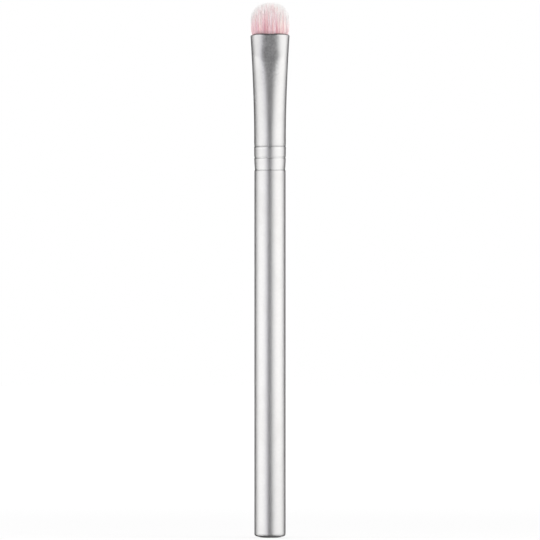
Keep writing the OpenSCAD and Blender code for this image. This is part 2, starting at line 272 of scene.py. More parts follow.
# World and floor, with sizes in metres
WORLD_LIGHT = 0.97
WORLD_SHOWN = 1.0
FLOOR_HALF = 6.0
FLOOR_FADE = 1.2
FLOOR_GLOW = 0.64
FLOOR_GLOW_AWAY = 0.76
FLOOR_SHOWN = (0.3, 0.3, 0.3, 1)
FLOOR_PLAIN = (0.8, 0.8, 0.8, 1)

# Cards: distances from the brush and shared heights in metres, and points along each
FRONT_R = 0.16
FRONT_SPLIT = 0.115
BACK_R = 0.32
SIDE_R = 0.3
COOL_R = 0.9
WIDE_R = 1.0
CENTRE_R = 0.001
CARDS_FOOT = -0.5
CARDS_TOP = 0.42
CARD_POINTS = 25

# Widths and heights of the lamps, in metres
LONG_BOX = (0.36, 0.2)
SQUARE_BOX = (0.3, 0.3)


# Small helpers for meshes and node trees

def way_up(z, low, high):
    """How far up z lies between two heights, from 0 to 1."""
    return np.clip((z - low) / (high - low), 0, 1)


def bump_of(distance, width):
    """A smooth bump of height 1, which falls off over a half width."""
    return np.exp(-(distance / width) ** 2)


def ring_sum(z, rings):
    """The sum at a height of smooth rings, each given as its height, its size and its half width."""
    return sum(size * bump_of(z - height, width) for height, size, width in rings)


def new_piece(name, points, faces, material):
    """A smooth-shaded mesh object with one material."""
    mesh = bpy.data.meshes.new(name)
    mesh.from_pydata(points.reshape(-1, 3).tolist(), [], faces.tolist())
    mesh.polygons.foreach_set("use_smooth", np.ones(len(mesh.polygons), bool))
    mesh.materials.append(material)
    mesh.validate()
    piece = bpy.data.objects.new(name, mesh)
    bpy.context.scene.collection.objects.link(piece)
    return piece


def grid_faces(rows, columns, rows_join=False, columns_join=True):
    """Quads between rows of points. Rows or columns that join go on from the last one to the first."""
    row = np.arange(rows if rows_join else rows - 1)[:, None]
    column = np.arange(columns if columns_join else columns - 1)[None, :]
    above = (row + 1) % rows
    beside = (column + 1) % columns
    corners = ((row, column), (row, beside), (above, beside), (above, column))
    return np.stack([up * columns + across for up, across in corners], -1).reshape(-1, 4)


def carry(piece, name, values):
    """Stores a number at every point of a piece, for its material to read."""
    piece.data.attributes.new(name, "FLOAT", "POINT").data.foreach_set("value", values)


class Bench:
    """Puts nodes in a tree. An input is linked to the socket given for it, or set to the value given."""

    def __init__(self, tree):
        self.tree = tree

    def feed(self, target, value):
        """Links a socket to an input, or sets a plain value on it."""
        if isinstance(value, bpy.types.NodeSocket):
            self.tree.links.new(value, target)
        else:
            target.default_value = value

    def put(self, kind, inputs=None, **settings):
        """Adds a node, with its settings and its inputs."""
        node = self.tree.nodes.new(kind if kind.startswith("NodeGroup") else "ShaderNode" + kind)
        for key, value in settings.items():
            setattr(node, key, value)
        for key, value in (inputs or {}).items():
            self.feed(node.inputs[key], value)
        return node

    def math(self, operation, first, second=0.0, clamp=False):
        """One step of arithmetic."""
        node = self.put("Math", {0: first, 1: second}, operation=operation, use_clamp=clamp)
        return node.outputs[0]

    def plus(self, value, more, times):
        """A value plus a number of times another."""
        return self.math("ADD", value, self.math("MULTIPLY", more, times))

    def per_metre(self, size):
        """How often a size fits in a metre, which is the scale that a texture takes."""
        return self.math("DIVIDE", 1.0, size)

    def span(self, value, low, high, to_low=0.0, to_high=1.0):
        """Maps a value from one range to another, smoothly and held at the ends."""
        inputs = {"Value": value, "From Min": low, "From Max": high, "To Min": to_low, "To Max": to_high}
        return self.put("MapRange", inputs, interpolation_type="SMOOTHSTEP").outputs["Result"]

    def mix(self, share, first, second, blend="MIX"):
        """Two colours mixed, through the sockets that a Mix node has for colours."""
        inputs = {0: share, 6: first, 7: second}
        return self.put("Mix", inputs, data_type="RGBA", blend_type=blend).outputs[2]

    def stained(self, colour, mask, strength, stain):
        """A colour with a stain over it, which is as strong as a mask times a strength."""
        return self.mix(self.math("MULTIPLY", mask, strength), colour, stain)

    def place(self):
        """Where a point lies on its piece, in metres."""
        return self.put("TexCoord").outputs["Object"]

    def along(self, axis):
        """How far along one axis that place lies."""
        return self.put("SeparateXYZ", {0: self.place()}).outputs[axis]

    def stretched(self, scale):
        """The same place, stretched along each axis."""
        return self.put("Mapping", {"Vector": self.place(), "Scale": scale}).outputs["Vector"]

    def carried(self, name):
        """A number that the piece's mesh carries at its points."""
        return self.put("Attribute", attribute_name=name).outputs["Fac"]

    def noise(self, vector, scale, **shape):
        """Soft noise from 0 to 1."""
        return self.put("TexNoise", {"Vector": vector, "Scale": scale} | shape).outputs["Fac"]

    def bump(self, height, strength, depth, **more):
        """A normal bent by a height, for bumps of a depth in metres."""
        inputs = {"Height": height, "Strength": strength, "Distance": depth}
        return self.put("Bump", inputs | more).outputs["Normal"]

    def group(self, tree, **inputs):
        """The outputs of a shared effect, whose inputs are named with a low line for each space."""
        inputs = {key.replace("_", " "): value for key, value in inputs.items()}
        return self.put("Group", inputs, node_tree=tree).outputs


def effect(name, takes, gives):
    """A new node group with named inputs and outputs, and the bench to fill it on."""
    tree = bpy.data.node_groups.new(name, "ShaderNodeTree")
    for label, value in takes.items():
        socket = tree.interface.new_socket(name=label, in_out="INPUT", socket_type="NodeSocketFloat")
        socket.default_value = value
    for label in gives:
        tree.interface.new_socket(name=label, in_out="OUTPUT", socket_type="NodeSocketFloat")
    bench = Bench(tree)
    return bench, bench.put("NodeGroupInput").outputs, bench.put("NodeGroupOutput").inputs


def new_material(name):
    """An empty node material: its bench and its surface input."""
    material = bpy.data.materials.new(name)
    material.use_nodes = True
    material.node_tree.nodes.clear()
    bench = Bench(material.node_tree)
    return material, bench, bench.put("OutputMaterial").inputs["Surface"]


# Surface effects that several materials share

def blasted_grain():
    """Even satin grain, as bead blasting and anodising leave it."""
    bench, takes, gives = effect("blasted_grain", {"Grain Size": 0.1 * MM}, ["Height", "Tone"])
    scale = bench.per_metre(takes["Grain Size"])
    place = bench.place()
    fine = bench.noise(place, scale, Detail=3.0, Roughness=0.6)
    pits = bench.put("TexVoronoi", {"Vector": place, "Scale": scale, "Randomness": 1.0})
    wide = bench.noise(place, bench.math("MULTIPLY", scale, 0.12), Detail=2.0)
    bench.feed(gives["Height"], bench.plus(fine, pits.outputs["Distance"], 0.45))
    bench.feed(gives["Tone"], bench.span(wide, 0.3, 0.7))
    return bench.tree


def drawn_lines():
    """Faint lines along the brush, left by the die that drew the tube."""
    bench, takes, gives = effect("drawn_lines", {"Spacing": 0.1 * MM, "Stretch": 0.01}, ["Height"])
    stretch = bench.put("CombineXYZ", {"X": 1.0, "Y": 1.0, "Z": takes["Stretch"]}).outputs["Vector"]
    drawn = bench.put("VectorMath", {0: bench.place(), 1: stretch}, operation="MULTIPLY").outputs["Vector"]
    lines = bench.noise(drawn, bench.per_metre(takes["Spacing"]), Detail=2.0, Roughness=0.55)
    bench.feed(gives["Height"], lines)
    return bench.tree


def handling_marks():
    """Soft smudges and a few short hairline scuffs, as fingers and a drawer leave them."""
    takes = {"Smudge Size": 6 * MM, "Scuff Size": 1.1 * MM}
    bench, takes, gives = effect("handling_marks", takes, ["Smudge", "Scuff"])
    place = bench.place()
    turned = bench.put("Mapping", {"Vector": place, "Rotation": (0.5, 0.9, 0.3), "Scale": (1.0, 14.0, 1.0)})
    smudge_scale = bench.per_metre(takes["Smudge Size"])
    smudge = bench.noise(place, smudge_scale, Detail=4.0, Roughness=0.6, Distortion=0.6)
    scuff = bench.noise(turned.outputs["Vector"], bench.per_metre(takes["Scuff Size"]), Detail=1.0)
    bench.feed(gives["Smudge"], bench.span(smudge, 0.42, 0.72))
    bench.feed(gives["Scuff"], bench.span(scuff, 0.74, 0.8))
    return bench.tree


def edge_wear():
    """Breaks up a mask of edges, so that they are rubbed bright here and there."""
    bench, takes, gives = effect("edge_wear", {"Edge": 0.0, "Patch Size": 0.5 * MM}, ["Wear"])
    patches = bench.noise(bench.place(), bench.per_metre(takes["Patch Size"]), Detail=3.0)
    rubbed = bench.span(patches, 0.4, 0.62, 0.25, 1.0)
    bench.feed(gives["Wear"], bench.math("MULTIPLY", takes["Edge"], rubbed, clamp=True))
    return bench.tree


def specks():
    """Scattered round specks: bubbles in glue and resin, pores in wood."""
    bench, takes, gives = effect("specks", {"Spacing": 1 * MM, "Speck Share": 0.2}, ["Mask"])
    texture = {"Vector": bench.place(), "Scale": bench.per_metre(takes["Spacing"])}
    cells = bench.put("TexVoronoi", texture).outputs["Distance"]
    core = takes["Speck Share"]
    edge = bench.math("MULTIPLY", core, 1.3)
    inputs = {"Value": cells, "From Min": core, "From Max": edge, "To Min": 1.0, "To Max": 0.0}
    bench.feed(gives["Mask"], bench.put("MapRange", inputs).outputs["Result"])
    return bench.tree


GRAIN = blasted_grain()
LINES = drawn_lines()
MARKS = handling_marks()
WEAR = edge_wear()
SPECKS = specks()


# Materials

def satin_metal(name, edge_of, painted_shade_of, flats_of=None):
    """Satin aluminium: fine grain, faint drawn lines, smudges, rubbed edges and painted shade in the
    creases.
    """
    material, bench, surface = new_material(name)
    grain = bench.group(GRAIN, Grain_Size=0.09 * MM)
    lines = bench.group(LINES, Spacing=0.12 * MM, Stretch=0.012)
    marks = bench.group(MARKS, Smudge_Size=6.5 * MM, Scuff_Size=1.1 * MM)
    wear = bench.group(WEAR, Edge=edge_of(bench), Patch_Size=0.5 * MM)["Wear"]

    colour = bench.mix(grain["Tone"], METAL_DULL, METAL_CLEAN)
    if flats_of:
        patches = bench.noise(bench.place(), MOTTLE_SCALE, Detail=4.0)
        mottled = bench.mix(bench.span(patches, 0.3, 0.7), MOTTLE_PALE, MOTTLE_DARK)
        colour = bench.mix(flats_of(bench), colour, mottled)
    colour = bench.stained(colour, marks["Smudge"], 0.35, METAL_SMUDGED)
    colour = bench.mix(wear, colour, METAL_RUBBED)
    # Painted shade: darkened where its mask gives it, in creases, recesses and under the lip
    colour = bench.mix(painted_shade_of(bench), colour, METAL_PAINTED_SHADE)

    rough = METAL_ROUGH
    changes = ((marks["Smudge"], 0.035), (grain["Tone"], 0.02), (marks["Scuff"], -0.06), (wear, -0.12))
    for mask, change in changes:
        rough = bench.plus(rough, mask, change)

    fine = bench.bump(grain["Height"], strength=0.16, depth=0.012 * MM)
    normal = bench.bump(lines["Height"], strength=0.1, depth=0.008 * MM, Normal=fine)
    inputs = {"Base Color": colour, "Metallic": 1.0, "Roughness": rough, "Normal": normal}
    bench.feed(surface, bench.put("BsdfPrincipled", inputs).outputs["BSDF"])
    return material


def handle_edges(bench):
    """The handle's rubbed places: the corner of the butt and the shoulder at the top."""
    height = bench.along("Z")
    butt = bench.span(height, BUTT_RUB_FULL, BUTT_RUB_END, BUTT_RUB, 0.0)
    shoulder = bench.span(height, SHOULDER_RUB_FROM, SHOULDER_TOP, 0.0, SHOULDER_RUB)
    return bench.math("MAXIMUM", butt, shoulder)


def handle_painted_shade(bench):
    """The handle's painted shade: just under the ferrule's lip."""
    return bench.span(bench.along("Z"), SHOULDER_TOP, HANDLE_TOP, 0.0, SHOULDER_PAINTED_SHADE)


def ferrule_edges(bench):
    """The ferrule's rubbed places: its rim, its lip and the beads beside its crimps."""
    return bench.carried("edge")


def ferrule_painted_shade(bench):
    """The ferrule's painted shade: the curl of the mouth, the inside and the upper crimp."""
    return bench.carried("crease")


def ferrule_flats(bench):
    """The middle of the ferrule's two flats, which the jaws of the press left mottled."""
    middle = bench.span(bench.math("ABSOLUTE", bench.along("X")), FLAT_HALF_W, FLAT_END, 1.0, 0.0)
    high = bench.span(bench.along("Z"), FLAT_FROM, FLAT_FULL)
    return bench.math("MULTIPLY", middle, high)


def dowel_wood():
    """Turned, unfinished hardwood with grain along the dowel."""
    material, bench, surface = new_material("dowel_wood")
    along = bench.stretched((1.0, 1.0, 0.06))
    inputs = {"Vector": along, "Scale": 900.0, "Distortion": 2.2, "Detail": 3.0, "Detail Scale": 1.4}
    rings = bench.put("TexWave", inputs, wave_type="RINGS", rings_direction="Y").outputs["Fac"]
    fibres = bench.noise(along, 9000.0, Detail=4.0)
    pores = bench.group(SPECKS, Spacing=0.6 * MM, Speck_Share=0.16)["Mask"]
    turned = bench.group(GRAIN, Grain_Size=0.2 * MM)["Height"]
    wood = bench.mix(rings, WOOD_LATE, WOOD_EARLY)
    wood = bench.stained(wood, fibres, 0.4, WOOD_FIBRE)
    wood = bench.stained(wood, pores, 0.5, WOOD_PORE)
    rough = bench.span(fibres, 0.3, 0.7, 0.62, 0.8)
    normal = bench.bump(bench.plus(fibres, turned, 0.4), strength=0.3, depth=0.04 * MM)
    inputs = {"Base Color": wood, "Roughness": rough, "Normal": normal}
    bench.feed(surface, bench.put("BsdfPrincipled", inputs).outputs["BSDF"])
    return material


def cured_resin(name, clear, cloudy, bubble_spacing, transmission, least_rough):
    """Cured glue or resin with bubbles and cloudy patches."""
    material, bench, surface = new_material(name)
    bubbles = bench.group(SPECKS, Spacing=bubble_spacing, Speck_Share=0.22)["Mask"]
    clouds = bench.group(MARKS, Smudge_Size=2 * MM, Scuff_Size=0.8 * MM)["Smudge"]
    ripple = bench.group(GRAIN, Grain_Size=0.5 * MM)["Height"]
    colour = bench.mix(clouds, clear, cloudy)
    colour = bench.stained(colour, bubbles, 0.5, BUBBLE)
    rough = bench.plus(least_rough, clouds, 0.2)
    normal = bench.bump(bench.math("SUBTRACT", ripple, bubbles), strength=0.25, depth=0.05 * MM)
    inputs = {"Base Color": colour, "Roughness": rough, "Normal": normal, "IOR": 1.52}
    inputs["Transmission Weight"] = transmission
    bench.feed(surface, bench.put("BsdfPrincipled", inputs).outputs["BSDF"])
    return material


def waxed_thread():
    """Waxed cotton thread with slanting plies."""
    material, bench, surface = new_material("binding_thread")
    inputs = {"Vector": bench.stretched((1.0, 1.0, 1.6)), "Scale": 3200.0, "Distortion": 0.8, "Detail": 2.0}
    plies = bench.put("TexWave", inputs, bands_direction="DIAGONAL").outputs["Fac"]
    fuzz = bench.group(GRAIN, Grain_Size=0.06 * MM)["Height"]
    wax = bench.group(MARKS, Smudge_Size=1.5 * MM, Scuff_Size=0.5 * MM)["Smudge"]
    colour = bench.mix(plies, THREAD_GROOVE, THREAD_PLY)
    colour = bench.stained(colour, wax, 0.3, THREAD_WAX)
    rough = bench.span(plies, 0.0, 1.0, 0.75, 0.5)
    normal = bench.bump(bench.plus(plies, fuzz, 0.5), strength=0.5, depth=0.03 * MM)
    inputs = {"Base Color": colour, "Roughness": rough, "Normal": normal, "Sheen Weight": 0.2}
    bench.feed(surface, bench.put("BsdfPrincipled", inputs).outputs["BSDF"])
    return material


def dyed_bristle():
    """Fine synthetic hair, rose at the mouth and nearly white at the tips, with locks dyed unevenly and
    painted shade near the mouth.
    """
    material, bench, surface = new_material("bristle")
    rise = bench.carried("rise")
    lock = bench.carried("lock_tone")
    strand = bench.carried("strand_tone")
    swing = bench.plus(LOCK_SWING, rise, -LOCK_SWING_LOSS)
    fade = bench.plus(DYE_START, rise, DYE_RISE)
    fade = bench.plus(fade, bench.math("SUBTRACT", lock, 0.5), swing)
    fade = bench.plus(fade, bench.math("SUBTRACT", strand, 0.5), STRAND_SWING)
    dye = bench.put("ValToRGB", {"Fac": fade})
    ramp = dye.color_ramp.elements
    while len(ramp) < len(DYE_STOPS):
        ramp.new(0.5)
    for element, (place, stop_colour) in zip(ramp, DYE_STOPS):
        element.position = place
        element.color = stop_colour

    hue = bench.math("FRACT", bench.math("MULTIPLY", lock, HUE_TURNS))
    tint = bench.mix(hue, MAUVE_TINT, PEACH_TINT)
    colour = bench.mix(bench.span(strand, 0.88, 0.95, 0.0, 0.6), dye.outputs["Color"], PALE_STRAND)
    colour = bench.mix(bench.span(rise, 0.5, 1.0, 1.0, 0.3), colour, tint, "MULTIPLY")
    colour = bench.mix(bench.span(rise, 0.92, 1.0, 0.0, 0.7), colour, WHITE_TIP)
    # Painted shade on the hair just above the mouth
    colour = bench.mix(bench.span(rise, 0.02, 0.2, 0.5, 0.0), colour, ROOT_PAINTED_SHADE)
    rough = bench.span(strand, 0.0, 1.0, 0.42, 0.6)
    inputs = {"Base Color": colour, "Roughness": rough, "Specular IOR Level": 0.35}
    bench.feed(surface, bench.put("BsdfPrincipled", inputs).outputs["BSDF"])
    return material


# Ferrule

def oval_reach(c, s, power):
    """How far out the unit oval x^power + y^2 = 1 lies along a direction, by repeated Newton steps."""
    k = np.ones(np.broadcast(c, s, power).shape)
    for _ in range(OVAL_TRIES):
        x = (k * c) ** power
        y = (k * s) ** 2
        k = k - k * (x + y - 1) / (power * x + 2 * y)
    return k


def oval_power(z):
    """The power of the ferrule's oval: round low down, and squarest at the foot of the pressed flats."""
    share = way_up(z, ROUND_TOP, PRESS_Z)
    funnel = ROUND_POWER + (FUNNEL_POWER - ROUND_POWER) * share
    rising = funnel + (PRESS_POWER - FUNNEL_POWER) * share ** FOLD_POWER
    ease = (1 - way_up(z, PRESS_Z, RIM_Z)) ** EASE_POWER
    pressed = MOUTH_POWER + (PRESS_POWER - MOUTH_POWER) * ease
    return np.where(z < PRESS_Z, rising, pressed)


def ferrule_section(z, inset, angle):
    """Points of the ferrule's section at a height, moved in by an inset."""
    rolled = LIP_ROLL * (1 - way_up(z, 0, ROUND_TOP)) ** LIP_ROLL_POWER
    low = FERRULE_R - rolled + ring_sum(z, CRIMP_RINGS)
    half_w = low + (MOUTH_HALF_W - FERRULE_R) * way_up(z, ROUND_TOP, RIM_Z) ** FLARE_POWER - inset
    half_t = low + (MOUTH_HALF_T - FERRULE_R) * way_up(z, ROUND_TOP, PRESS_Z) ** THIN_POWER - inset
    c, s = np.cos(angle), np.sin(angle)
    reach = oval_reach(np.abs(c), np.abs(s), oval_power(z))
    return half_w * reach * c, half_t * reach * s


def with_inset(heights, inset):
    """Levels at some heights, all with one inset."""
    return np.stack([heights, np.full(len(heights), inset)], 1)


def ferrule_levels():
    """Heights and insets up the outside, round the rim, down the inside and round the lower lip."""
    outside = np.concatenate([np.linspace(low, high, count) for low, high, count in OUTSIDE_RUNS])
    turn = np.linspace(0, RIM_TURN, RIM_STEPS)[1:]
    rim = np.stack([RIM_Z + RIM_R * np.sin(turn), RIM_R * (1 - np.cos(turn))], 1)
    curl = np.array(RIM_CURL) * RIM_R + (RIM_Z, 0)
    inside = with_inset(INSIDE_HIGH + INSIDE_LOW, WALL)
    turn = np.linspace(0, math.pi, LIP_STEPS)[1:-1]
    lip = np.stack([LIP_Z - WALL / 2 * np.sin(turn), WALL / 2 + WALL / 2 * np.cos(turn)], 1)
    return np.concatenate([with_inset(outside, 0.0), rim, curl, inside, lip])


def rim_arch(x, z):
    """How far up or down the mouth's rim is moved, and less and less so below it."""
    across = np.abs(x) / x.max(axis=1, keepdims=True)
    drop = np.where(x > 0, RIM_DROP_RIGHT, RIM_DROP_LEFT)
    arch = RIM_RISE - RIM_DIP * bump_of(x, RIM_DIP_W) - drop * across ** RIM_DROP_POWER
    return arch * way_up(z, RIM_Z - RIM_RUN, FERRULE_L) ** RIM_RUN_POWER


def rubbed_edge(z):
    """How much the ferrule is rubbed at a height."""
    rim = way_up(z, RIM_Z - RIM_RUB_BELOW, RIM_Z) * (1 - way_up(z, RIM_Z, RIM_Z + RIM_RUB_ABOVE))
    lip = 1 - way_up(z, LIP_RUB_FULL, LIP_RUB_END)
    bead = BEAD_RUB * np.clip(ring_sum(z, CRIMP_RINGS) / BEAD_HIGH, 0, 1)
    return np.maximum(np.maximum(rim, lip), bead)


def crease_shade(z, inset):
    """How much shade is painted on the ferrule at a height and an inset."""
    curl = way_up(z, RIM_Z + RIM_SHADE_FROM, RIM_Z + RIM_SHADE_FULL)
    inside = way_up(inset, INSIDE_FROM, WALL)
    return np.maximum(RIM_PAINTED_SHADE * np.maximum(curl, inside), ring_sum(z, CRIMP_PAINTED_SHADE))


def ferrule_shell(material):
    """The aluminium ferrule: crimped twice, flared, and pressed flat towards the mouth."""
    levels = ferrule_levels()
    z, inset = levels[:, :1], levels[:, 1:]
    angle = np.linspace(0, 2 * math.pi, COLUMNS, endpoint=False)[None, :]
    x, y = ferrule_section(z, inset, angle)
    points = np.stack([x, y, HANDLE_TOP + z + rim_arch(x, z)], -1)
    piece = new_piece("ferrule_shell", points, grid_faces(len(levels), COLUMNS, rows_join=True), material)
    carry(piece, "edge", np.repeat(rubbed_edge(z), COLUMNS))
    # The curl of the mouth, the inside and the upper crimp carry painted shade
    carry(piece, "crease", np.repeat(crease_shade(z, inset), COLUMNS))
    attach(piece, "root")
    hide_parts("ferrule")


# Bristles

def spiral_disc(count, rng, jitter):
    """Evenly spread points of the unit disc, nudged at random."""
    i = np.arange(count)
    r = np.sqrt((i + 0.5) / count)
    a = i * GOLDEN_ANGLE
    step = jitter / math.sqrt(count)
    x = r * np.cos(a) + rng.normal(0, step, count)
    y = r * np.sin(a) + rng.normal(0, step, count)
    over = np.maximum(1, np.hypot(x, y))
    return x / over, y / over


def in_tuft(x, y, half_w, half_t):
    """Where points of the unit disc come to lie in an oval section of the tuft."""
    angle = np.arctan2(y, x)
    c, s = np.cos(angle), np.sin(angle)
    k = oval_reach(np.abs(c), np.abs(s), TUFT_POWER) * np.hypot(x, y)
    return half_w * k * c, half_t * k * s


def strand_lengths(spread, lock, rng):
    """How far strands stand out of the mouth: a dome, with locks and strands a little short at random."""
    dome = (1 - np.minimum(1, spread) ** DOME_POWER) ** (1 / DOME_POWER)
    full = SIDE_REACH + (TUFT_L - SIDE_REACH) * dome
    short = np.abs(rng.normal(0, LOCK_SHORT, LOCKS))[lock] + np.abs(rng.normal(0, STRAND_SHORT, STRANDS))
    return full * (FULL_LENGTH - np.minimum(MOST_SHORT, short))


def fade_and_painted_light(side, own, climb):
    """How pale the hair is: the dye fades towards the tips and the tuft's top; the paler sides are partly
    faded dye and partly painted light, and the paler right and upper left are painted light.
    """
    pale = SIDE_FADE_AND_LIGHT * side ** 2 + EDGE_FADE_AND_LIGHT * side ** 6 + RIGHT_PAINTED_LIGHT * side
    pale = pale + LEFT_TOP_PAINTED_LIGHT * climb * np.maximum(0, -side)
    return np.clip(OWN_SHARE * own + (1 - OWN_SHARE) * climb + pale, 0, 1)


def strand_tones(lock_x, lock, rng):
    """Two tones of each strand, in even steps: its lock's, which is calmer at the sides, and its own."""
    lock_tone = rng.uniform(0, 1, LOCKS)
    calm = CALM_SHARE * way_up(np.abs(lock_x), CALM_FROM, CALM_FULL)
    lock_tone = lock_tone + (CALM_TONE - lock_tone) * calm
    tones = {"lock_tone": lock_tone[lock], "strand_tone": rng.uniform(0, 1, STRANDS)}
    return {key: (np.floor(tone * TONES) + 0.5) / TONES for key, tone in tones.items()}


def bristle_paths(rng):
    """Each strand's centre line and tones, and how far along and how pale it is at each ring, from faded
    dye and painted light.
    """
    seat_x, seat_y = spiral_disc(STRANDS, rng, SEAT_JITTER)
    lock_x, lock_y = spiral_disc(LOCKS, rng, LOCK_JITTER)
    gap = (seat_x[:, None] - lock_x[None, :]) ** 2 + (seat_y[:, None] - lock_y[None, :]) ** 2
    lock = np.argmin(gap + rng.normal(0, GAP_JITTER, gap.shape), 1)
    reach = strand_lengths(np.hypot(seat_x, seat_y), lock, rng)[:, None]

    height = -ROOT_DEPTH + (reach + ROOT_DEPTH) * np.linspace(0, 1, RINGS)[None, :] ** RING_POWER
    own = np.clip(height / reach, 0, 1)
    out = 1 - np.exp(-np.maximum(0, height) / SPRING_OUT)
    seat_w = MOUTH_HALF_W - WALL - MOUTH_GAP
    seat_t = MOUTH_HALF_T - WALL - MOUTH_GAP
    half_w = seat_w + (TUFT_HIGH.x - TUFT_TRIM - seat_w) * out
    half_t = seat_t + (TUFT_HIGH.y - TUFT_TRIM - seat_t) * out
    x, y = in_tuft(seat_x[:, None], seat_y[:, None], half_w, half_t)
    centre_x, centre_y = in_tuft(lock_x[lock][:, None], lock_y[lock][:, None], half_w, half_t)
    pull = LOCK_PULL * own ** PULL_POWER
    x = x + (centre_x - x) * pull
    y = y + (centre_y - y) * pull

    lean = rng.normal(0, LOCK_LEAN, (LOCKS, 2))[lock]
    stray = rng.normal(0, STRAY, (STRANDS, 2))
    wave = rng.uniform(0, 2 * math.pi, STRANDS)[:, None]
    x = x + (lean + stray)[:, :1] * own ** LEAN_POWER + WAVE_R * np.sin(WAVE_TURN_X * own + wave) * own
    y = y + (lean + stray)[:, 1:] * own ** LEAN_POWER + WAVE_R * np.cos(WAVE_TURN_Y * own + wave) * own
    rise = fade_and_painted_light(seat_x[:, None], own, np.clip(height / TUFT_L, 0, 1))
    return np.stack([x, y, MOUTH_Z + height], -1), own, rise, strand_tones(lock_x, lock, rng)


def strand_faces(count):
    """Quads of strands side by side, each closed at both ends."""
    root = np.arange(SIDES)[::-1]
    tip = np.arange(SIDES) + (RINGS - 1) * SIDES
    one = np.concatenate([grid_faces(RINGS, SIDES), [root], [tip]])
    return (one[None] + (np.arange(count) * RINGS * SIDES)[:, None, None]).reshape(-1, SIDES)


def strand_map(piece, rise, tones):
    """A flat map for the bristles: strands of the same two tones share a column, and rise goes up it."""
    lock_step, strand_step = (np.floor(tones[key] * TONES) for key in ("lock_tone", "strand_tone"))
    column = (lock_step * TONES + strand_step)[:, None]
    side = np.arange(SIDES)[None, :]
    left = COLUMN_MARGIN + COLUMN_W * side / SIDES
    right = COLUMN_MARGIN + COLUMN_W * (side + 1) / SIDES
    across = np.stack([left, right, right, left], -1)[:, None] + column[..., None, None]
    across = across + 0 * rise[:, :-1, None, None]
    low, high = rise[:, :-1, None], rise[:, 1:, None]
    along = np.stack([low, low, high, high], -1) + 0 * across
    spots = [np.stack([across / TONES ** 2, MAP_LOW + MAP_TALL * along], -1).reshape(len(rise), -1, 2)]
    for ring, step in ((0, -END_STEP), (-1, END_STEP)):
        u = (column + [END_ACROSS]) / TONES ** 2
        v = MAP_LOW + MAP_TALL * rise[:, ring][:, None] + np.array([[0, step, step, 0]])
        spots.append(np.stack([u, v], -1))
    uv = np.concatenate(spots, 1).ravel()
    piece.data.uv_layers.new(name="OFBake").data.foreach_set("uv", uv)


def bristle_pieces(material):
    """The loose hair: tapered strands dealt out to three pieces, of which one stops scattered light."""
    path, own, rise, tones = bristle_paths(np.random.default_rng(SEED))
    around = np.linspace(0, 2 * math.pi, SIDES, endpoint=False) + math.pi / 4
    ring = np.stack([np.cos(around), np.sin(around), 0 * around], -1)
    radius = TIP_R + (STRAND_R - TIP_R) * (1 - own ** TAPER_POWER)
    points = path[:, :, None, :] + radius[..., None, None] * ring
    names = ("bristles_first", "bristles_second", "bristles_third")
    for index, name in enumerate(names):
        chosen = np.arange(STRANDS) % len(names) == index
        piece_tones = {key: tone[chosen] for key, tone in tones.items()}
        piece = new_piece(name, points[chosen], strand_faces(int(chosen.sum())), material)
        piece.visible_diffuse = index == 0
        carry(piece, "rise", np.repeat(rise[chosen], SIDES))
        for key, tone in piece_tones.items():
            carry(piece, key, np.repeat(tone, RINGS * SIDES))
        strand_map(piece, rise[chosen], piece_tones)
        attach(piece, "root")
        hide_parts("bristle_tuft")


# Studio

def seen_directly(bench):
    """1 for what the camera sees, directly, mirrored or through glass, and 0 for scattered light."""
    path = bench.put("LightPath").outputs
    mirrored = bench.math("MAXIMUM", path["Is Glossy Ray"], path["Is Transmission Ray"])
    return bench.math("MAXIMUM", path["Is Camera Ray"], mirrored)


def white_world():
    """A white backdrop, which lights the brush from all round."""
    world = bpy.data.worlds.new("studio")
    world.use_nodes = True
    world.node_tree.nodes.clear()
    bench = Bench(world.node_tree)
    strength = bench.span(seen_directly(bench), 0.0, 1.0, WORLD_LIGHT, WORLD_SHOWN)
    background = bench.put("Background", {"Color": (1, 1, 1, 1), "Strength": strength})
    bench.feed(bench.put("OutputWorld").inputs["Surface"], background.outputs["Background"])
    bpy.context.scene.world = world


def pale_floor():
    """A white floor that shows a soft shadow, and throws light back as plain matt white does."""
    material, bench, surface = new_material("floor_white")
    away = bench.put("VectorMath", {0: bench.place()}, operation="LENGTH").outputs["Value"]
    strength = bench.span(away, 0.0, FLOOR_FADE, FLOOR_GLOW, FLOOR_GLOW_AWAY)
    matt = bench.put("BsdfDiffuse", {"Color": FLOOR_SHOWN})
    glow = bench.put("Emission", {"Color": (1, 1, 1, 1), "Strength": strength})
    shown = bench.put("AddShader", {0: matt.outputs["BSDF"], 1: glow.outputs["Emission"]})
    plain = bench.put("BsdfDiffuse", {"Color": FLOOR_PLAIN})
    inputs = {0: seen_directly(bench), 1: plain.outputs["BSDF"], 2: shown.outputs["Shader"]}
    bench.feed(surface, bench.put("MixShader", inputs).outputs["Shader"])
    corners = FLOOR_HALF * np.array([[-1, -1, 0], [1, -1, 0], [1, 1, 0], [-1, 1, 0]])
    floor = new_piece("floor", corners, np.array([[0, 1, 2, 3]]), material)
    floor.visible_glossy = False


def upright(radius, low, high):
    """Outline of a card that stands at one distance from the brush."""
    return (radius, low), (radius, high)


def lying(height):
    """Outline of a card that lies at one height, out to where the back cards stand."""
    return (CENTRE_R, height), (BACK_R, height)


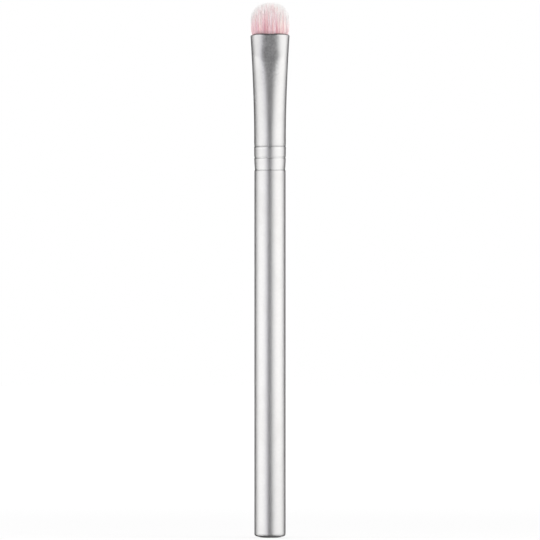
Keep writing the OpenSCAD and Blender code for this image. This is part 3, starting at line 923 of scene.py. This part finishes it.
def mirrored_card(name, outline, azimuth, spread, glow, colour=(1.0, 1.0, 1.0)):
    """A card seen in reflections only: an outline of radii and heights, swept both ways from an azimuth.

    Azimuth 0 faces the camera and 90 is on its right. A glow under 1 is darker than the backdrop."""
    material, bench, surface = new_material(name + "_face")
    inputs = {"Color": (*colour, 1), "Strength": glow}
    bench.feed(surface, bench.put("Emission", inputs).outputs["Emission"])
    turn = np.radians(np.linspace(azimuth - spread, azimuth + spread, CARD_POINTS))[None, :]
    radius, height = np.array(outline)[:, :1], np.array(outline)[:, 1:]
    points = np.stack([radius * np.sin(turn), -radius * np.cos(turn), height + 0 * turn], -1)
    faces = grid_faces(len(outline), CARD_POINTS, columns_join=False)
    card = new_piece(name, points, faces, material)
    card.visible_camera = card.visible_diffuse = card.visible_shadow = card.visible_transmission = False


def softbox(name, place, aim_z, size, radiance, colour, hidden_from=None):
    """A large soft lamp that faces the brush at a height. Camera rays miss it, and one other kind may."""
    width, tall = size
    data = bpy.data.lights.new(name, "AREA")
    data.shape = "RECTANGLE"
    data.size = width
    data.size_y = tall
    data.energy = radiance * math.pi * width * tall
    data.color = colour
    lamp = bpy.data.objects.new(name, data)
    lamp.location = place
    lamp.rotation_euler = (Vector((0, 0, aim_z)) - Vector(place)).to_track_quat("-Z", "Y").to_euler()
    lamp.visible_camera = False
    lamp.visible_diffuse = hidden_from != "diffuse"
    lamp.visible_glossy = hidden_from != "glossy"
    bpy.context.scene.collection.objects.link(lamp)


# Cards: name, outline, azimuth and spread in degrees, glow, and a tint for those that aren't grey
CARDS = (
    ("front_card_low", upright(FRONT_R, CARDS_FOOT, 0.0), 1.5, 20.5, 0.09),
    ("front_card_middle", upright(FRONT_R, 0.0, FRONT_SPLIT), -2.5, 15.5, 0.16, (0.93, 0.94, 1.0)),
    ("front_card_high", upright(FRONT_R, FRONT_SPLIT, CARDS_TOP), -0.5, 17, 0.03, (0.9, 0.92, 1.0)),
    ("back_card_left", upright(BACK_R, CARDS_FOOT, CARDS_TOP), -145, 24, 0.06),
    ("back_card_right", upright(BACK_R, CARDS_FOOT, CARDS_TOP), 145, 24, 0.06),
    ("back_low_card", upright(BACK_R, CARDS_FOOT, -0.1), 180, 60, 0.08),
    ("top_card", lying(CARDS_TOP), 0, 180, 0.06),
    ("bottom_card", lying(CARDS_FOOT), 0, 180, 0.08),
    ("side_card_high", upright(SIDE_R, 0.14, CARDS_TOP), -106, 15, 0.42),
    ("left_card", upright(WIDE_R, -1.0, 1.0), -75, 40, 0.78),
    ("cool_card", upright(COOL_R, -1.0, 1.0), -27, 8, 1.05, (0.955, 0.94, 1.0)),
    ("right_card", upright(WIDE_R, -1.0, 1.0), 75, 40, 0.88),
)

# Lamps: name, place, height faced, width and height, radiance, colour, and a kind of ray that misses it
LAMPS = (
    ("left_softbox", (-0.274, -0.122, 0.055), 0.055, LONG_BOX, 0.6, (1.0, 0.985, 0.98)),
    ("right_softbox", (0.274, -0.122, 0.083), 0.083, (0.36, 0.194), 0.5, (1.0, 0.97, 0.935)),
    ("left_high_softbox", (-0.274, -0.122, 0.37), 0.12, LONG_BOX, 0.5, (1.0, 0.99, 0.985), "diffuse"),
    ("right_high_softbox", (0.274, -0.122, 0.37), 0.12, LONG_BOX, 0.6, (1.0, 0.98, 0.96), "diffuse"),
    ("key_softbox", (0.41, -0.34, 0.4), 0.155, SQUARE_BOX, 3.0, (1.0, 0.985, 0.955), "glossy"),
    ("fill_softbox", (-0.5, -0.1, 0.35), 0.155, SQUARE_BOX, 2.0, (0.965, 0.945, 1.0), "glossy"),
)


def studio():
    """The backdrop, the floor, and all cards and lamps."""
    white_world()
    pale_floor()
    for card in CARDS:
        mirrored_card(*card)
    for lamp in LAMPS:
        softbox(*lamp)


def camera():
    """A camera far in front of the brush, which frames it as the photograph does."""
    data = bpy.data.cameras.new("camera")
    data.lens = LENS
    data.sensor_width = SENSOR
    distance = PHOTO_PIXELS * PIXEL * LENS / SENSOR
    data.clip_start = CLIP_START
    data.clip_end = CLIP_END_TIMES * distance
    eye = bpy.data.objects.new("camera", data)
    middle = PHOTO_PIXELS / 2
    eye.location = ((middle - AXIS_PIXEL) * PIXEL, -distance, (BASE_PIXEL - middle) * PIXEL)
    eye.rotation_euler = (math.pi / 2, 0, 0)
    bpy.context.scene.collection.objects.link(eye)
    bpy.context.scene.camera = eye


def dress(node, material):
    """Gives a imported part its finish."""
    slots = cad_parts[node].data.materials
    slots.clear()
    slots.append(material)


camera()
studio()
handle_metal = satin_metal("handle_metal", handle_edges, handle_painted_shade)
ferrule_metal = satin_metal("ferrule_metal", ferrule_edges, ferrule_painted_shade, ferrule_flats)
bristle = dyed_bristle()
clear_glue = cured_resin("clear_glue", GLUE_CLEAR, GLUE_CLOUDY,
                         bubble_spacing=0.8 * MM, transmission=0.5, least_rough=0.22)
potting_resin = cured_resin("potting_resin", RESIN_CLEAR, RESIN_CLOUDY,
                            bubble_spacing=1.2 * MM, transmission=0.3, least_rough=0.18)
dress("handle_tube", handle_metal)
dress("core_dowel", dowel_wood())
dress("dowel_glue", clear_glue)
dress("ferrule_glue", clear_glue)
dress("potting_plug", potting_resin)
dress("root_binding", waxed_thread())
ferrule_shell(ferrule_metal)
bristle_pieces(bristle)
bpy.context.scene.view_settings.view_transform = "Standard"
